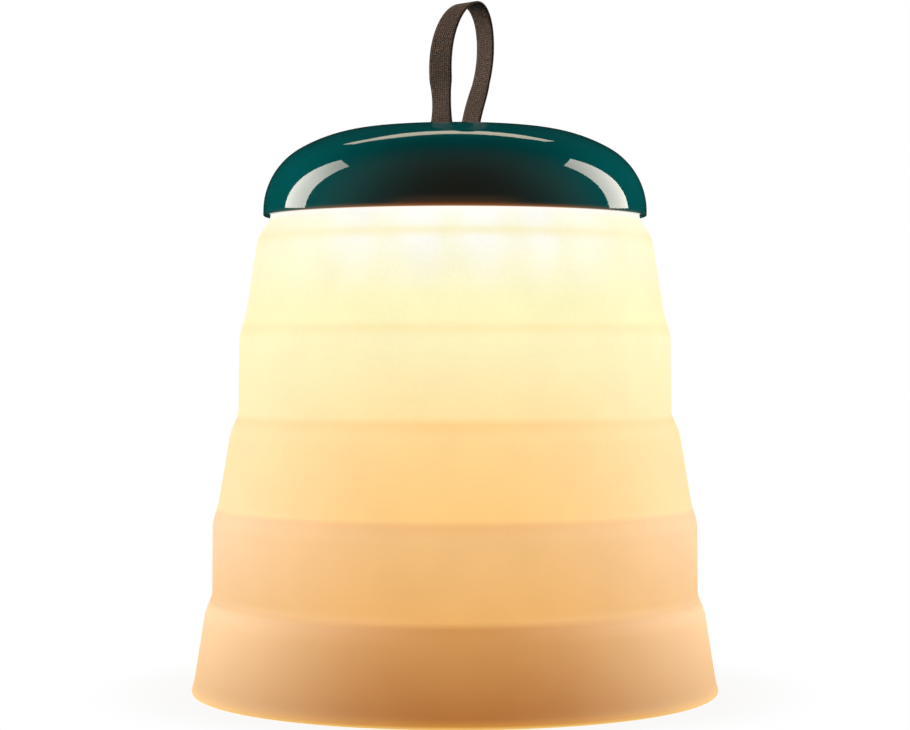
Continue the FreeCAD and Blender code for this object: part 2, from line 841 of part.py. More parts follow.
def add_cell(body, name, side):
    """One cell along X: half its section, turned about the cell's own axis."""
    sketch = new_sketch(body, name + "_profile", "XY_Plane", cell_level)
    half = cell_length / 2
    near, edge = side, side + cell_radius
    draw_loop(sketch, [
        (-half, near),
        (half, near),
        (half, edge - cell_round, cell_round),
        (half - cell_round, edge),
        (-half + cell_round, edge, cell_round),
        (-half, edge - cell_round),
    ])
    turned = body.newObject("PartDesign::Revolution", name)
    turned.Profile = sketch
    turned.ReferenceAxis = (sketch, ["Edge1"])
    turned.Angle = 360
    return turned


battery_cells = new_body("battery_cells")
for name, side in (("front_cell", -cell_spread), ("back_cell", cell_spread)):
    add_cell(battery_cells, name, side)

battery_cradles = new_body("battery_cradles")
cradle_length = 2 * (cradle_half + cradle_wall)
cradle_end_x = cradle_half + cradle_wall / 2
cradle_sides = (-cell_spread, cell_spread)
extrude(battery_cradles, "Pad", "cradle_floors", tray_floor_top, size("cradle_floor"), loops=[
    box_outline((GROUND, side), cradle_length, size("cradle_width")) for side in cradle_sides
])
extrude(battery_cradles, "Pad", "cradle_ends", tray_floor_top, size("cradle_end_height"), loops=[
    box_outline((end, side), cradle_wall, size("cradle_width"))
    for side in cradle_sides
    for end in (-cradle_end_x, cradle_end_x)
])

contact_side = size("contact_side")
contact_x = cell_length / 2 + contact_thick / 2 + cradle_gap / 2
battery_contacts = new_body("battery_contacts")
extrude(battery_contacts, "Pad", "contact_strips", cell_level - contact_side / 2, contact_side, loops=[
    box_outline((end, side), contact_thick, contact_side)
    for side in cradle_sides
    for end in (-contact_x, contact_x)
])


# Screws: pan heads, turned as one outline about their own axis and set out as the holes are


def add_screw(body, name, x, shank, head_radius, thread_end, seat, head_end):
    """One screw at (x, 0): shank from seat to thread end, head from seat to head end."""
    sketch = new_sketch(body, name + "_profile", "XZ_Plane")
    corners = [
        (x, head_end),
        (x + head_radius, head_end),
        (x + head_radius, seat),
        (x + shank, seat),
        (x + shank, thread_end),
        (x, thread_end),
    ]
    draw_loop(sketch, corners)
    turned = body.newObject("PartDesign::Revolution", name)
    turned.Profile = sketch
    turned.ReferenceAxis = (sketch, ["Edge6"])
    turned.Angle = 360
    return turned


case_screws = new_body("case_screws")
case_screw = add_screw(
    case_screws, "case_screw", boss_circle, case_screw_radius,
    size("case_screw_head_radius"), tray_floor_bottom + size("case_screw_length"),
    tray_floor_bottom, tray_floor_bottom - size("case_screw_head"),
)
polar_pattern(case_screws, "case_screw_ring", [case_screw], screw_count)

board_screws = new_body("board_screws")
extrude(board_screws, "Pad", "board_screw_shanks", driver_top - size("board_screw_length"),
        size("board_screw_length"),
        circles=[(spot, board_screw_radius) for spot in post_spots])
extrude(board_screws, "Pad", "board_screw_heads", driver_top, size("board_screw_head"),
        circles=[(spot, size("board_screw_head_radius")) for spot in post_spots])


# Ribbon loop and wires: routes of straight runs joined by tangent arcs


def rounded_route(points, radii):
    """A wire through the points, with an arc of the given radius at each inner point."""
    edges = []
    start = points[0]
    for before, corner, after, radius in zip(points, points[1:], points[2:], radii):
        into = (corner - before).normalize()
        out = (after - corner).normalize()
        half_turn = into.getAngle(out) / 2
        reach = radius * math.tan(half_turn)
        first = corner - into * reach
        last = corner + out * reach
        inward = (out - into).normalize()
        middle = corner + inward * (radius / math.cos(half_turn) - radius)
        edges.append(Part.LineSegment(start, first).toShape())
        edges.append(Part.Arc(first, middle, last).toShape())
        start = last
    edges.append(Part.LineSegment(start, points[-1]).toShape())
    return Part.Wire(edges)


BENT_SHARE = 0.45


def widest_radius(before, corner, after):
    """The largest arc that leaves a little of both runs straight."""
    turn = (corner - before).getAngle(after - corner)
    shorter = min((corner - before).Length, (after - corner).Length)
    return BENT_SHARE * shorter / math.tan(turn / 2)


def swept(route, section):
    """Sweeps a closed section, set square to the route's start, along the route."""
    return route.makePipeShell([section], True, False)


def route_points(corners):
    return [FreeCAD.Vector(x, 0, z) for x, z in corners]


def ribbon_along(points, radii):
    """A length of ribbon, as wide along Y as it was cut, along a route in the XZ plane."""
    along = (points[1] - points[0]).normalize()
    half_thick = along.cross(FreeCAD.Vector(0, ribbon_thick.value / 2, 0))
    half_width = FreeCAD.Vector(0, ribbon_width.value / 2, 0)
    corners = [
        points[0] + half_width * across + half_thick * through
        for across, through in ((-1, -1), (1, -1), (1, 1), (-1, 1))
    ]
    return swept(rounded_route(points, radii), Part.makePolygon(corners + corners[:1]))


def widest_radii(points):
    return [widest_radius(*points[index - 1:index + 2]) for index in range(1, len(points) - 1)]


leg = ribbon_spread.value
crown = crown_level.value
pivot = crown + size("ribbon_pivot_height").value
split = size("ribbon_split").value / 2
under = crown - (cap_wall + size("ribbon_under_gap") + ribbon_thick / 2).value

# Lower legs and the run under the crown, which the cap hangs on
root_points = route_points([(-leg, pivot - split), (-leg, under), (leg, under), (leg, pivot - split)])
root_corner = size("ribbon_corner").value
strap_root = solid_feature("strap_root", ribbon_along(root_points, [root_corner, root_corner]))

# Standing loop: the right leg bulges outwards, and the top leans over to the right
loop_points = route_points(
    [(leg, pivot + split)]
    + [
        (side * size(f"loop_{spot}_x").value, crown + size(f"loop_{spot}_height").value)
        for side, spots in ((1, ("flare", "bulge", "shoulder", "top")), (-1, ("lean", "left")))
        for spot in spots
    ]
    + [(-leg, pivot + split)]
)
strap_loop = solid_feature("strap_loop", ribbon_along(loop_points, widest_radii(loop_points)))


def wire(points):
    """A round wire through the points, bent as gently as its runs allow."""
    points = [FreeCAD.Vector(*point) for point in points]
    route = rounded_route(points, widest_radii(points))
    circle = Part.Circle(points[0], points[1] - points[0], wire_radius)
    return swept(route, Part.Wire(circle.toShape()))


wire_radius = size("wire_radius").value
spread = wire_spread.value
plug_top = driver_top.value + size("plug_height").value
over_plug = plug_top + 6 * wire_radius
led_wire_level = led_board_bottom.value - wire_radius - seat_gap.value
led_plug_x = plug_spot[0].value
hole_x = wire_hole_x.value
led_leads = solid_feature("led_leads", Part.makeCompound([
    wire([
        (led_board_inner.value + 3 * wire_radius, wire_hole_y.value + side, led_wire_level),
        (hole_x, wire_hole_y.value + side, led_wire_level),
        (hole_x, wire_hole_y.value + side, over_plug),
        (led_plug_x, side, over_plug),
        (led_plug_x, side, plug_top),
    ])
    for side in (-spread / 2, spread / 2)
]))

contact_outer = (contact_x + contact_thick / 2).value
contact_top = (cell_level + contact_side / 2).value
lead_x = -(contact_outer + wire_radius)
lead_start = contact_top - wire_radius
over_contact = contact_top + 4 * wire_radius
cell_side = (cell_spread - cell_radius).value
battery_leads = solid_feature("battery_leads", Part.makeCompound([
    wire([
        (lead_x, side * cell_spread.value, lead_start),
        (lead_x, side * cell_spread.value, over_contact),
        (lead_x, side * cell_side, over_contact),
        (-led_plug_x, side * spread / 2, over_plug),
        (-led_plug_x, side * spread / 2, plug_top),
    ])
    for side in (-1, 1)
]))


# Check every object and write each piece to its own file

PIECES = [
    foot_ring, lower_fold_wall, middle_ring, upper_fold_wall, upper_ring,
    cap_shell, strap_root, strap_loop,
    head_tray, opal_lens, led_board, leds, led_leads,
    driver_board, board_components, board_screws,
    power_button, switch_plunger, tact_switch, usb_socket, port_flap,
    battery_cells, battery_cradles, battery_contacts, battery_leads, case_screws,
]

doc.recompute()
failed = [
    item.Name for item in doc.Objects
    if "Invalid" in item.State or "Error" in item.State
]
failed += [
    piece.Label for piece in PIECES
    if piece.Shape.isNull() or not piece.Shape.isValid() or not piece.Shape.Solids
]
if failed:
    raise RuntimeError("these objects failed: " + ", ".join(failed))

os.makedirs("parts", exist_ok=True)
for piece in PIECES:
    piece.Shape.exportStep(f"parts/{piece.Label}.step")
    solids = len(piece.Shape.Solids)
    print(f"{piece.Label}: {solids} solids, {piece.Shape.Volume / 1000:.2f} cm3")
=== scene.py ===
import math

import bmesh
import bpy
from mathutils import Matrix, Quaternion, Vector


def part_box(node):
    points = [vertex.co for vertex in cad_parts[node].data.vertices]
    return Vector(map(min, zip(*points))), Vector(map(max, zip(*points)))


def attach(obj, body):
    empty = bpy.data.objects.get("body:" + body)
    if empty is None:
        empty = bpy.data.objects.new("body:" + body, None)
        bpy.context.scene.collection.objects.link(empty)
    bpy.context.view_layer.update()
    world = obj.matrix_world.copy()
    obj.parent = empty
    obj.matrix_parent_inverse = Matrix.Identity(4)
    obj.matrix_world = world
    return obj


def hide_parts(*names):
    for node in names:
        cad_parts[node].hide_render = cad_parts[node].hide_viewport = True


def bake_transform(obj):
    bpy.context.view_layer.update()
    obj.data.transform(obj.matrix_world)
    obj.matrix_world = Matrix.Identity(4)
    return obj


# Folding camping lantern, lit, standing on its foot. Lengths are metres, in the frame's own axes.

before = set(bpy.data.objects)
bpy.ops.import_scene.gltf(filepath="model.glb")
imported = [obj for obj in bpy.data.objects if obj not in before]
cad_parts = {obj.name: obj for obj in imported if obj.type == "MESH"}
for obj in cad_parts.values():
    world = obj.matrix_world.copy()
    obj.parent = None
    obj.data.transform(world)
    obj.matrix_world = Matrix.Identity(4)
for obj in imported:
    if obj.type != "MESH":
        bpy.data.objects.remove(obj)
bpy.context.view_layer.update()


# Lower half of the shade: the foot ring, the lower fold wall and half of the middle ring.
# It is one moulding of translucent platinum silicone, thick in the rings and thin in the fold,
# so that the middle ring can be pushed down into the foot ring and the fold turns inside out.

MM = 0.001
# The walls are thin enough for the fold to turn over in a round crest
RING_WALL = 1.6 * MM
FOLD_WALL = 0.8 * MM
FOOT_SEAT_WIDTH = 4.0 * MM
FOOT_SEAT_THICK = 3.0 * MM
FOOT_LIP_HEIGHT = 4.7 * MM
FOOT_LIP_FLARE = 1.3 * MM
FOOT_EDGE_ROUND = 1.5 * MM
SHOULDER_BEND = 2.2 * MM
CREASE_BEND = 1.1 * MM
# Height and depth of the shoulder below the fold wall, and of the step above it
LOWER_SHOULDER = (6.0 * MM, 2.5 * MM)
LOWER_STEP = (6.5 * MM, 2.1 * MM)
# Fineness of the mesh: steps round the axis, steps in a bend and the longest edge up the wall
TURN_STEPS = 192
BEND_STEPS = 6
LONGEST_EDGE = 1.5 * MM
MERGE_DISTANCE = 0.005 * MM
SHARP_ANGLE = math.radians(38)


def ring_extent(node):
    """Widest radius, lowest and highest level of a shade ring, from the frame."""
    low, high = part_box(node)
    return high.x, low.z, high.z


def new_piece(name, bm):
    """Writes a finished bmesh to a new object at the origin, smooth except at its sharp edges."""
    bmesh.ops.remove_doubles(bm, verts=bm.verts[:], dist=MERGE_DISTANCE)
    bmesh.ops.recalc_face_normals(bm, faces=bm.faces[:])
    mesh = bpy.data.meshes.new(name)
    bm.to_mesh(mesh)
    bm.free()
    mesh.shade_smooth()
    mesh.set_sharp_from_angle(angle=SHARP_ANGLE)
    piece = bpy.data.objects.new(name, mesh)
    bpy.context.scene.collection.objects.link(piece)
    return piece


def turned(name, outline):
    """Turns a closed outline of (radius, height, length of bend at the corner) about the Z axis."""
    bm = bmesh.new()
    corners = [bm.verts.new((radius, 0, height)) for radius, height, bend in outline]
    bm.faces.new(corners)
    for corner, (radius, height, bend) in zip(corners, outline):
        if bend:
            bmesh.ops.bevel(bm, geom=[corner], offset=bend, affect="VERTICES",
                            segments=BEND_STEPS, profile=0.5, material=-1, clamp_overlap=True)
    bmesh.ops.delete(bm, geom=bm.faces[:], context="FACES_ONLY")
    for edge in bm.edges[:]:
        cuts = int(edge.calc_length() / LONGEST_EDGE)
        if cuts:
            bmesh.ops.subdivide_edges(bm, edges=[edge], cuts=cuts)
    bmesh.ops.spin(bm, geom=bm.verts[:] + bm.edges[:], cent=(0, 0, 0), axis=(0, 0, 1), dvec=(0, 0, 0),
                   angle=2 * math.pi, steps=TURN_STEPS, use_merge=True)
    return new_piece(name, bm)


foot_radius, ground, foot_top = ring_extent("foot_ring")
foot_top_radius = ring_extent("lower_fold_wall")[0]
middle_radius, middle_bottom, middle_top = ring_extent("middle_ring")
middle_top_radius = ring_extent("upper_fold_wall")[0]
split_level = (middle_bottom + middle_top) / 2
split_radius = (middle_radius + middle_top_radius) / 2
lower_fold_bottom = foot_top + LOWER_SHOULDER[0]
lower_fold_top = middle_bottom - LOWER_STEP[0]
lower_fold_radius = foot_top_radius - LOWER_SHOULDER[1]
lower_fold_top_radius = middle_radius + LOWER_STEP[1]
foot_flat_radius = foot_radius - FOOT_EDGE_ROUND
foot_cone_radius = foot_radius - FOOT_LIP_FLARE
seat_radius = foot_flat_radius - FOOT_SEAT_WIDTH

shade_lower = turned("shade_lower", [
    (seat_radius, ground, 0),
    (foot_radius, ground, FOOT_EDGE_ROUND),
    (foot_cone_radius, FOOT_LIP_HEIGHT, CREASE_BEND),
    (foot_top_radius, foot_top, SHOULDER_BEND),
    (lower_fold_radius, lower_fold_bottom, CREASE_BEND),
    (lower_fold_top_radius, lower_fold_top, SHOULDER_BEND),
    (middle_radius, middle_bottom, CREASE_BEND),
    (split_radius, split_level, 0),
    (split_radius - RING_WALL, split_level, 0),
    (middle_radius - RING_WALL, middle_bottom, CREASE_BEND),
    (lower_fold_top_radius - FOLD_WALL, lower_fold_top, SHOULDER_BEND),
    (lower_fold_radius - FOLD_WALL, lower_fold_bottom, CREASE_BEND),
    (foot_top_radius - RING_WALL, foot_top, SHOULDER_BEND),
    (foot_cone_radius - RING_WALL, FOOT_LIP_HEIGHT, CREASE_BEND),
    (seat_radius, FOOT_SEAT_THICK, 0),
])
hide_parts("foot_ring", "lower_fold_wall")
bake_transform(shade_lower)


# Upper half of the shade: the rest of the middle ring, the upper fold wall and the upper ring.
# Same silicone moulding. Its neck has an inner bead that is buttoned into a groove of the head's
# tray, and the cap's rim hides the joint.

# Height and depth of the shoulders, of the step and of the bead
UPPER_SHOULDER = (6.4 * MM, 2.85 * MM)
UPPER_STEP = (8.4 * MM, 2.5 * MM)
NECK_SHOULDER = (7.6 * MM, 4.7 * MM)
BEAD = (2.5 * MM, 1.2 * MM)
UPPER_RING_TAPER = 4.1 * MM
UPPER_RING_HEIGHT = 26.7 * MM
NECK_WALL = 2.2 * MM

upper_radius, upper_bottom, neck_top = ring_extent("upper_ring")
upper_top = upper_bottom + UPPER_RING_HEIGHT
upper_top_radius = upper_radius - UPPER_RING_TAPER
upper_fold_bottom = middle_top + UPPER_SHOULDER[0]
upper_fold_top = upper_bottom - UPPER_STEP[0]
upper_fold_radius = middle_top_radius - UPPER_SHOULDER[1]
upper_fold_top_radius = upper_radius + UPPER_STEP[1]
neck_bottom = upper_top + NECK_SHOULDER[0]
neck_radius = upper_top_radius - NECK_SHOULDER[1]
neck_inner = neck_radius - NECK_WALL

shade_upper = turned("shade_upper", [
    (split_radius, split_level, 0),
    (middle_top_radius, middle_top, SHOULDER_BEND),
    (upper_fold_radius, upper_fold_bottom, CREASE_BEND),
    (upper_fold_top_radius, upper_fold_top, SHOULDER_BEND),
    (upper_radius, upper_bottom, CREASE_BEND),
    (upper_top_radius, upper_top, SHOULDER_BEND),
    (neck_radius, neck_bottom, CREASE_BEND),
    (neck_radius, neck_top, 0),
    (neck_inner - BEAD[1], neck_top, 0),
    (neck_inner - BEAD[1], neck_top - BEAD[0], 0),
    (neck_inner, neck_top - BEAD[0], 0),
    (neck_inner, neck_bottom, CREASE_BEND),
    (upper_top_radius - RING_WALL, upper_top, SHOULDER_BEND),
    (upper_radius - RING_WALL, upper_bottom, CREASE_BEND),
    (upper_fold_top_radius - FOLD_WALL, upper_fold_top, SHOULDER_BEND),
    (upper_fold_radius - FOLD_WALL, upper_fold_bottom, CREASE_BEND),
    (middle_top_radius - RING_WALL, middle_top, SHOULDER_BEND),
    (split_radius - RING_WALL, split_level, 0),
])
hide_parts("middle_ring", "upper_fold_wall", "upper_ring")
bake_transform(shade_upper)


# Silicone of both halves: moulded with a matte finish, milky, and lit from inside by the lamp.
# The glow goes from near white under the lamp to deep amber at the foot. Each step between two bands
# shows as a bright crease over a darker shoulder, because the wall is thin in one and thick in the other.


def linear(hex_code):
    """A hex sRGB colour as linear red, green, blue and alpha."""
    parts = [int(hex_code[start:start + 2], 16) / 255 for start in (1, 3, 5)]
    return [part / 12.92 if part <= 0.04045 else ((part + 0.055) / 1.055) ** 2.4 for part in parts] + [1]


def new_material(name):
    """An empty material with its Principled shader and its Object coordinates."""
    material = bpy.data.materials.new(name)
    material.use_nodes = True
    shader = material.node_tree.nodes["Principled BSDF"]
    place = material.node_tree.nodes.new("ShaderNodeTexCoord").outputs["Object"]
    return material, shader, place


def add(material, kind, inputs, stops=(), **settings):
    """Adds a node with its settings, its ramp stops and its inputs: plain values or linked sockets."""
    made = material.node_tree.nodes.new("ShaderNode" + kind)
    for name, value in settings.items():
        setattr(made, name, value)
    for position, stop in stops:
        made.color_ramp.elements.new(position).color = stop
    if stops:
        made.color_ramp.elements.remove(made.color_ramp.elements[0])
        made.color_ramp.elements.remove(made.color_ramp.elements[-1])
    for key, value in inputs.items():
        if isinstance(value, bpy.types.NodeSocket):
            material.node_tree.links.new(value, made.inputs[key])
        else:
            made.inputs[key].default_value = value
    return made


def connect(material, source, node, key):
    """Links a socket to an input of a node that is already there."""
    material.node_tree.links.new(source, node.inputs[key])


LED_COUNT = 20
# Glow of the five bands, from the foot up: bottom and top in millimetres, then the colour at the bottom
# and the colour just below the shoulder
BANDS = [
    (3.4, 32.0, "#ae6c31", "#cc904f"),
    (34.2, 65.6, "#ebb168", "#f0be7d"),
    (67.4, 98.6, "#fdcb80", "#fed792"),
    (101.2, 131.2, "#ffe3a4", "#fef3be"),
    (133.6, 163.8, "#fdf6be", "#fcf8d0"),
]
# Its thick shoulder, in millimetres, dims the top of a band by a few per cent of red, green and blue
SHOULDER_HEIGHT = 4.0
SHOULDER_DIMMING = (0.99, 0.94, 0.88)
# The foot's lower edge and the neck catch the light
FOOT_EDGE_GLOW = [(0.2, "#f4c672"), (1.4, "#c88438")]
NECK_GLOW = [(166.0, "#fdf8d2"), (169.6, "#fdf9da"), (171.4, "#fffdf4")]
# Base colour of the milky body by height, with painted shade: it darkens towards the top, so that the
# lamps' light shows least where the glow is brightest
BODY_WITH_PAINTED_SHADE = [
    (4.0, "#f4f0cc"), (31.6, "#f8f5e2"), (34.0, "#8aa2ac"), (56.0, "#aeb1bf"),
    (84.0, "#9295a4"), (106.0, "#787a88"), (138.0, "#1e1e22"),
]
# Share of white in the patches that the LEDs throw: a row on the ring and a row on the neck, by height
PATCHES = [(142.0, 0.0), (153.0, 0.45), (161.0, 0.9), (163.8, 0.15), (166.0, 0.7), (168.6, 1.0)]
# The lamp is brightest on two opposite faces, this far round from +X, and its patches fade between them
BRIGHT_FACE = math.radians(228)
# Cloudy mottling of the cured silicone, its moulded grain, and the unevenness of the patches of light
CLOUD_SIZE = 18 * MM
GRAIN_SIZE = 0.8 * MM
DRIFT_SIZE = 34 * MM
# Nearly all values of a noise texture lie in this range
NOISE_RANGE = {"From Min": 0.3, "From Max": 0.7}


def by_height(material, place, stops):
    """A ramp over the shade's height, from stops of (millimetres, colour)."""
    axes = add(material, "SeparateXYZ", {0: place})
    share = add(material, "MapRange", {"Value": axes.outputs["Z"], "From Max": neck_top})
    return add(material, "ValToRGB", {"Fac": share.outputs[0]},
               [(level * MM / neck_top, colour) for level, colour in stops]).outputs["Color"]


def wave_round(material, place, count, shift):
    """A wave from -1 to 1 round the Z axis, with a count of peaks, shifted by a value or a socket."""
    axes = add(material, "SeparateXYZ", {0: place})
    angle = add(material, "Math", {0: axes.outputs["Y"], 1: axes.outputs["X"]}, operation="ARCTAN2")
    turns = add(material, "Math", {0: angle.outputs[0], 1: count, 2: shift}, operation="MULTIPLY_ADD")
    return add(material, "Math", {0: turns.outputs[0]}, operation="COSINE").outputs[0]


silicone, shader, place = new_material("matte translucent silicone, lit")
glow_stops = [(level, linear(code)) for level, code in FOOT_EDGE_GLOW + NECK_GLOW]
for bottom, top, low_code, high_code in BANDS:
    high = linear(high_code)
    dimmed = [part * share for part, share in zip(high, SHOULDER_DIMMING)] + [1]
    glow_stops += [(bottom, linear(low_code)), (top - SHOULDER_HEIGHT, high), (top, dimmed)]
glow = by_height(silicone, place, glow_stops)
# Base colour ramp with painted shade, darker towards the top
body = by_height(silicone, place, [(level, linear(code)) for level, code in BODY_WITH_PAINTED_SHADE])
patch_rows = by_height(silicone, place, [(level, (share, share, share, 1)) for level, share in PATCHES])
cloud = add(silicone, "TexNoise", {"Vector": place, "Scale": 1 / CLOUD_SIZE, "Detail": 3, "Roughness": 0.5})
grain = add(silicone, "TexNoise", {"Vector": place, "Scale": 1 / GRAIN_SIZE, "Detail": 2, "Roughness": 0.6})
cloud_range = add(silicone, "MapRange", {"Value": cloud.outputs["Fac"], **NOISE_RANGE,
                                         "To Min": 0.975, "To Max": 1.025})
grain_range = add(silicone, "MapRange", {"Value": grain.outputs["Fac"], **NOISE_RANGE,
                                         "To Min": 0.98, "To Max": 1.02})
mottle = add(silicone, "Math", {0: cloud_range.outputs[0], 1: grain_range.outputs[0]}, operation="MULTIPLY")
# Patches of light from the LEDs, uneven because the lens scatters them
drift = add(silicone, "TexNoise", {"Vector": place, "Scale": 1 / DRIFT_SIZE, "Detail": 1})
wander = add(silicone, "MapRange", {"Value": drift.outputs["Fac"], **NOISE_RANGE,
                                    "To Min": -1.4, "To Max": 1.4})
lobes = add(silicone, "MapRange", {"Value": wave_round(silicone, place, LED_COUNT, wander.outputs[0]),
                                   "From Min": -1.0, "To Min": 0.55}, interpolation_type="SMOOTHSTEP")
fade = add(silicone, "MapRange", {"Value": wave_round(silicone, place, 2, -2 * BRIGHT_FACE),
                                  "From Min": -0.7, "To Min": 0.0}, interpolation_type="SMOOTHSTEP")
uneven = add(silicone, "Math", {0: lobes.outputs[0], 1: fade.outputs[0]}, operation="MULTIPLY")
patches = add(silicone, "Math", {0: uneven.outputs[0], 1: patch_rows}, operation="MULTIPLY")
lit = add(silicone, "Mix", {"Factor": patches.outputs[0], "A": glow, "B": linear("#fffef8")},
          data_type="RGBA")
relief = add(silicone, "Bump", {"Height": grain.outputs["Fac"], "Strength": 0.12, "Distance": 0.1 * MM})
shader.inputs["Roughness"].default_value = 0.6
shader.inputs["IOR"].default_value = 1.41
shader.inputs["Specular IOR Level"].default_value = 0.2
# The body's base colour carries painted shade, darker towards the top
connect(silicone, body, shader, "Base Color")
connect(silicone, lit.outputs["Result"], shader, "Emission Color")
connect(silicone, mottle.outputs[0], shader, "Emission Strength")
connect(silicone, relief.outputs["Normal"], shader, "Normal")
shade_lower.data.materials.append(silicone)
shade_upper.data.materials.append(silicone)


# Head tray, battery cradles and switch: injection-moulded black ABS with a fine spark-eroded grain.
# The tray closes the cap from below, screwed to its bosses, and carries everything in the head.

MOULD_MOTTLING = 6 * MM


def dress(material, *nodes):
    """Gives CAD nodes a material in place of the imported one."""
    for name in nodes:
        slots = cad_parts[name].data.materials
        slots.clear()
        slots.append(material)


def toned(material, noise, code, share):
    """A colour that a noise darkens here and there to a share of itself."""
    darker = [part * share for part in linear(code)[:3]] + [1]
    stops = [(0.35, darker), (0.65, linear(code))]
    return add(material, "ValToRGB", {"Fac": noise.outputs["Fac"]}, stops).outputs["Color"]


def roughened(material, noise, roughness, spread):
    """A roughness that a noise raises and lowers by a spread."""
    limits = {"To Min": roughness - spread, "To Max": roughness + spread}
    return add(material, "MapRange", {"Value": noise.outputs["Fac"], **NOISE_RANGE, **limits}).outputs[0]


def moulded(name, code, grain, roughness, depth):
    """Moulded plastic or rubber: one colour with faint mottling, and an eroded or matte grain."""
    material, shader, place = new_material(name)
    mottling = add(material, "TexNoise", {"Vector": place, "Scale": 1 / MOULD_MOTTLING, "Detail": 3})
    pits = add(material, "TexNoise", {"Vector": place, "Scale": 1 / grain, "Detail": 2})
    relief = add(material, "Bump", {"Height": pits.outputs["Fac"], "Strength": 0.25, "Distance": depth})
    connect(material, toned(material, mottling, code, 0.86), shader, "Base Color")
    connect(material, roughened(material, pits, roughness, 0.06), shader, "Roughness")
    connect(material, relief.outputs["Normal"], shader, "Normal")
    return material


dress(moulded("black ABS, spark eroded", "#26282a", grain=0.7 * MM, roughness=0.5, depth=0.05 * MM),
      "head_tray", "battery_cradles", "tact_switch", "switch_plunger")


# Opal lens: annular dish of diffusing acrylic, snapped inside the tray's skirt round the hub.
# The LEDs stand above it, so it glows, brightest below each of them.

# Radii between which the spots below the LEDs come up
SPOT_START = 30 * MM
SPOT_FULL = 54 * MM

opal, shader, place = new_material("opal acrylic, lit")
axes = add(opal, "SeparateXYZ", {0: place})
flat_place = add(opal, "CombineXYZ", {"X": axes.outputs["X"], "Y": axes.outputs["Y"]})
radius = add(opal, "VectorMath", {0: flat_place.outputs[0]}, operation="LENGTH")
spot_glow = add(opal, "MapRange", {"Value": radius.outputs["Value"], "From Min": SPOT_START,
                                   "From Max": SPOT_FULL, "To Max": 0.12}, interpolation_type="SMOOTHSTEP")
spots = add(opal, "Math", {0: wave_round(opal, place, LED_COUNT, 0), 1: spot_glow.outputs[0], 2: 0.8},
            operation="MULTIPLY_ADD")
shader.inputs["Base Color"].default_value = linear("#efe9dc")
shader.inputs["Roughness"].default_value = 0.35
shader.inputs["Emission Color"].default_value = linear("#fff0c4")
connect(opal, spots.outputs[0], shader, "Emission Strength")
dress(opal, "opal_lens")


# LED ring and driver: white metal-core board with LED packages, and a green board with its parts.
# The LED board is stuck under the tray's floor, and the driver is screwed on four posts above it.

dress(moulded("white solder mask", "#e8e6de", grain=1.2 * MM, roughness=0.4, depth=0.02 * MM),
      "led_board")
dress(moulded("green solder mask", "#1f5a3a", grain=1.2 * MM, roughness=0.4, depth=0.02 * MM),
      "driver_board")
dress(moulded("black moulded packages", "#1e1f21", grain=0.5 * MM, roughness=0.45, depth=0.03 * MM),
      "board_components")

phosphor = moulded("phosphor silicone, lit", "#f6d27a", grain=0.8 * MM, roughness=0.3, depth=0.02 * MM)
shader = phosphor.node_tree.nodes["Principled BSDF"]
shader.inputs["Emission Color"].default_value = linear("#fff3cf")
shader.inputs["Emission Strength"].default_value = 1.0
dress(phosphor, "leds")


# Wires: stranded leads in red PVC insulation, extruded round them.
# They run from the LED ring and from the cells to the driver's plugs.

dress(moulded("red wire insulation", "#8e1b1b", grain=0.9 * MM, roughness=0.42, depth=0.03 * MM),
      "led_leads", "battery_leads")


# Button and port flap: soft black rubber mouldings in the hub, under the middle of the lamp.
# The button is pushed up against the switch, and the flap swings down from the charging socket.

dress(moulded("soft black rubber", "#2f3133", grain=0.9 * MM, roughness=0.68, depth=0.06 * MM),
      "power_button", "port_flap")


# Battery: two steel-cased lithium cells in plain PVC shrink wrap, smooth and a little glossy.
# They are pressed into their cradles between the contact strips.

dress(moulded("blue shrink wrap", "#2c6d80", grain=4 * MM, roughness=0.26, depth=0.03 * MM),
      "battery_cells")


# Metal: zinc-plated screws, nickel contact strips and the pressed shell of the charging socket.
# Drawn or turned metal has fine lines along its making, which spread the highlights.

LINE_LENGTH = 1.5 * MM
LINE_STRETCH = 6


def plated(name, code, roughness):
    """Plated steel: one colour with faint level lines in tone and polish."""
    material, shader, place = new_material(name)
    stretched = add(material, "Mapping", {"Vector": place, "Scale": (1, 1, LINE_STRETCH)})
    lines = add(material, "TexNoise", {"Vector": stretched.outputs[0], "Scale": 1 / LINE_LENGTH,
                                       "Detail": 3})
    shader.inputs["Metallic"].default_value = 1
    connect(material, toned(material, lines, code, 0.8), shader, "Base Color")
    connect(material, roughened(material, lines, roughness, 0.08), shader, "Roughness")
    return material


dress(plated("zinc-plated steel", "#b9bcc0", roughness=0.32), "case_screws", "board_screws")
dress(plated("nickel-plated steel", "#c4c0b6", roughness=0.28), "battery_contacts", "usb_socket")


# Cap: polished dome of deep teal ABS, injection moulded in one shot, its outside three tangent arcs.
# Two slots in the crown take the ribbon. The screw bosses inside can't be seen, so the CAD alone has them.

CAP_WALL = 2.2 * MM
CAP_SIDE_HEIGHT = 1.7 * MM
CAP_SIDE_ROUND = 25.8 * MM
CAP_EDGE_ROUND = 0.5 * MM
# Angles above level at which the side's arc and the shoulder's arc end
SIDE_TURN = math.radians(60.0)
SHOULDER_TURN = math.radians(84.5)
DOME_STEPS = 256
EDGE_STEPS = 5
NEAR = 0.01 * MM

cap_low, cap_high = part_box("cap_shell")
cap_radius, rim, crown = cap_high.x, cap_low.z, cap_high.z
waist = rim + CAP_SIDE_HEIGHT
